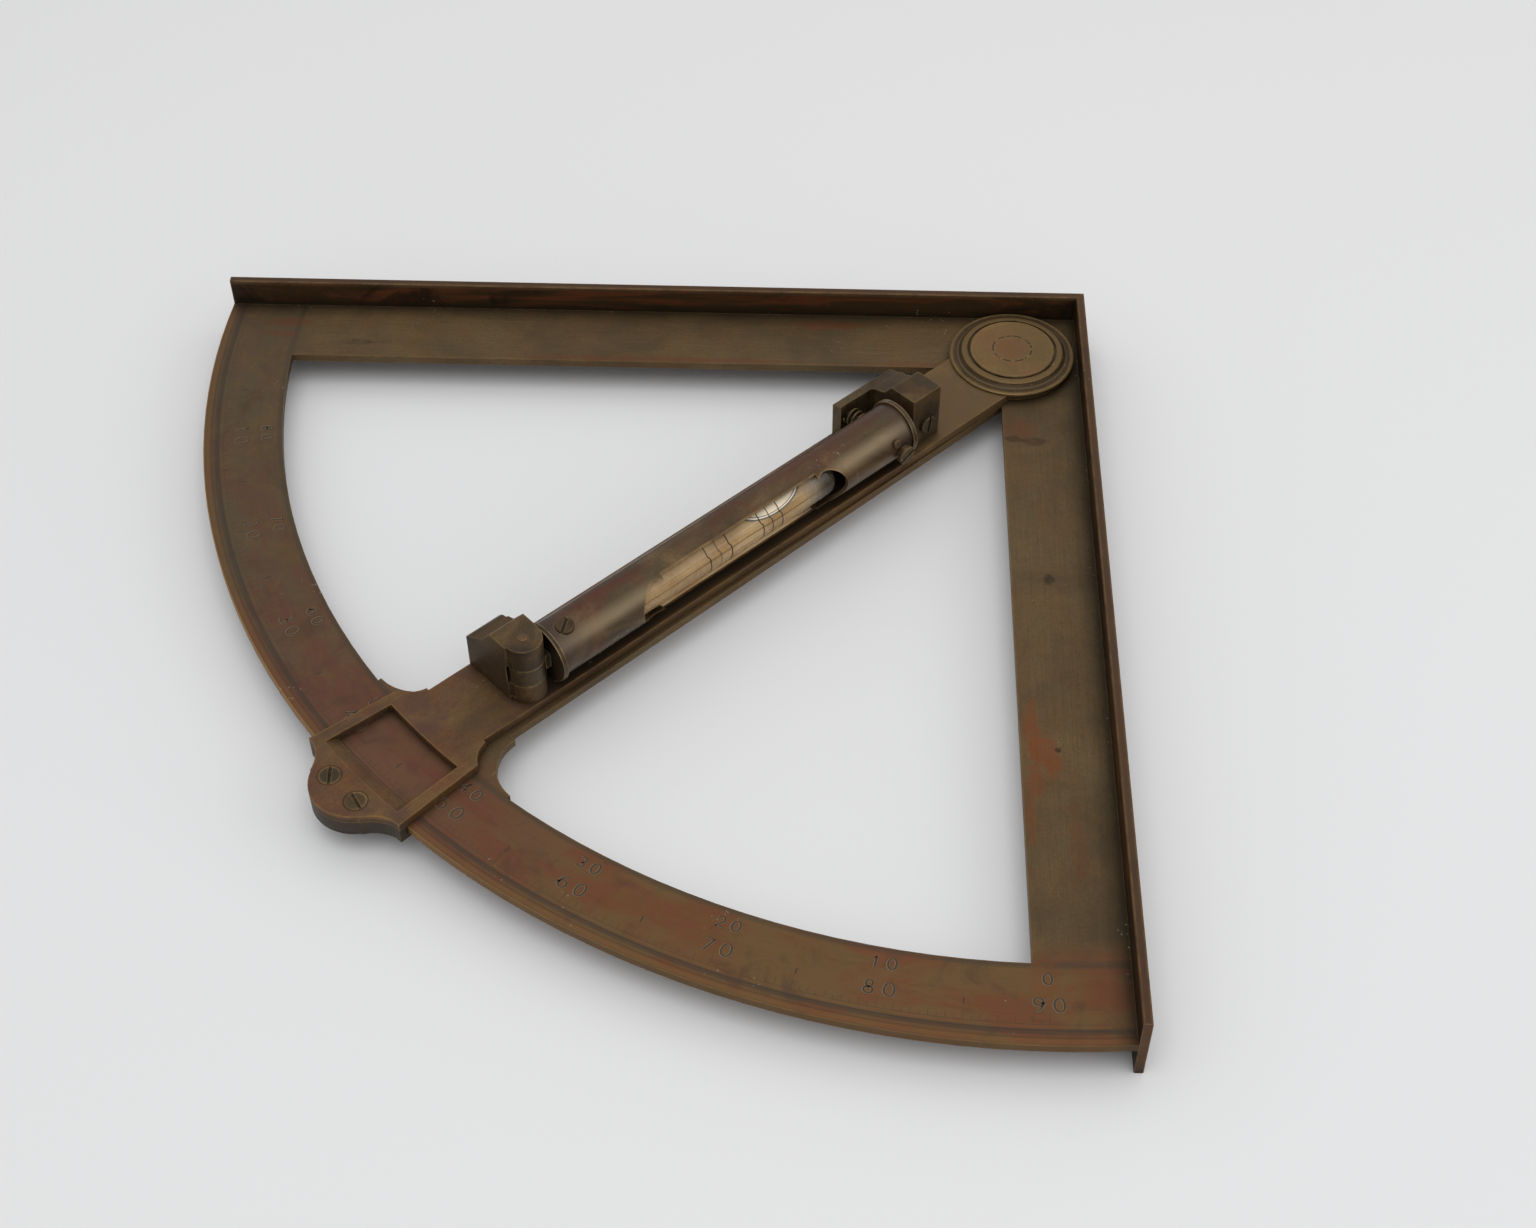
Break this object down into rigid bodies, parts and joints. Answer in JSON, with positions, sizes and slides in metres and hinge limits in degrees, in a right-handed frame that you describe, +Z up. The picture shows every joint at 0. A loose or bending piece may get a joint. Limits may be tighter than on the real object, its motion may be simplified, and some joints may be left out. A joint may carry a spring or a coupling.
{
  "type": "clinometer",
  "caption": "Brass quadrant clinometer: right-angled edge bars, divided limb with diagonal brace, and a pivoted index arm that carries an adjustable spirit level and a vernier window.",
  "frame": {"origin": "heel corner where the outer faces of the two edge bars meet, at the bars' lower edges", "axes": "+X and +Y along the two edge bars, +Z up from the bars' lower edges through the plate to the level"},
  "size_m": [0.2036, 0.2036, 0.0271],
  "materials": {
    "plate_brass": "aged, brown",
    "bar_brass": "aged, brown",
    "arm_brass": "aged, brown",
    "cap_brass": "aged, turned",
    "bracket_brass": "aged, filed",
    "tube_brass": "aged, polished",
    "plug_brass": "aged, turned",
    "screw_brass": "worn",
    "copper": "worn, coppery",
    "steel": "browned",
    "glass": "clear",
    "spirit": "clear, faintly yellow",
    "air": "clear",
    "paper": "cream, matt",
    "plaster": "cream, matt"
  },
  "bodies": {
    "frame": {"quadrant_plate": "plate_brass", "edge_bar_x": "bar_brass", "edge_bar_y": "bar_brass"},
    "arm": {"index_arm": "arm_brass", "pivot_cap": "cap_brass", "pivot_pin": "cap_brass", "pivot_washer": "steel", "pivot_spring_washer": "steel", "pivot_nut": "bar_brass", "limb_block": "arm_brass", "keeper_plate": "arm_brass", "index_screws": "steel", "hinge_bracket": "bracket_brass", "hinge_pin": "copper", "hinge_bracket_screws": "steel", "adjuster_bracket": "bracket_brass", "adjuster_bracket_screws": "steel", "post_screw": "steel", "adjuster_spring": "steel"},
    "level": {"level_tube": "tube_brass", "hinge_plug": "plug_brass", "adjuster_plug": "plug_brass", "hinge_plug_screw": "steel", "adjuster_plug_screw": "screw_brass", "vial_glass": "glass", "vial_spirit": "spirit", "vial_bubble": "air", "vial_backing": "paper", "vial_packing": "plaster"},
    "adjuster": {"adjuster_screw": "screw_brass"}
  },
  "joints": [
    {"name": "index_swing", "type": "hinge", "parent": "frame", "child": "arm", "pos_m": [0.0174, 0.0174, 0.0092], "axis": [0, 0, 1], "range_deg": [-44.5, 45.4]},
    {"name": "level_tilt", "type": "hinge", "parent": "arm", "child": "level", "pos_m": [0.11915, 0.12416, 0.0186], "axis": [0, 0, 1], "range_deg": [-0.5, 0.5], "deforming": ["adjuster_spring"]},
    {"name": "adjuster_travel", "type": "slide", "parent": "arm", "child": "adjuster", "axis": [0.7015, -0.7126, 0], "range_m": [-0.0009, 0.0009]}
  ],
  "couplings": [
    {"joint": "adjuster_travel", "follows": "level_tilt", "m_per_rad": 0.1007}
  ]
}
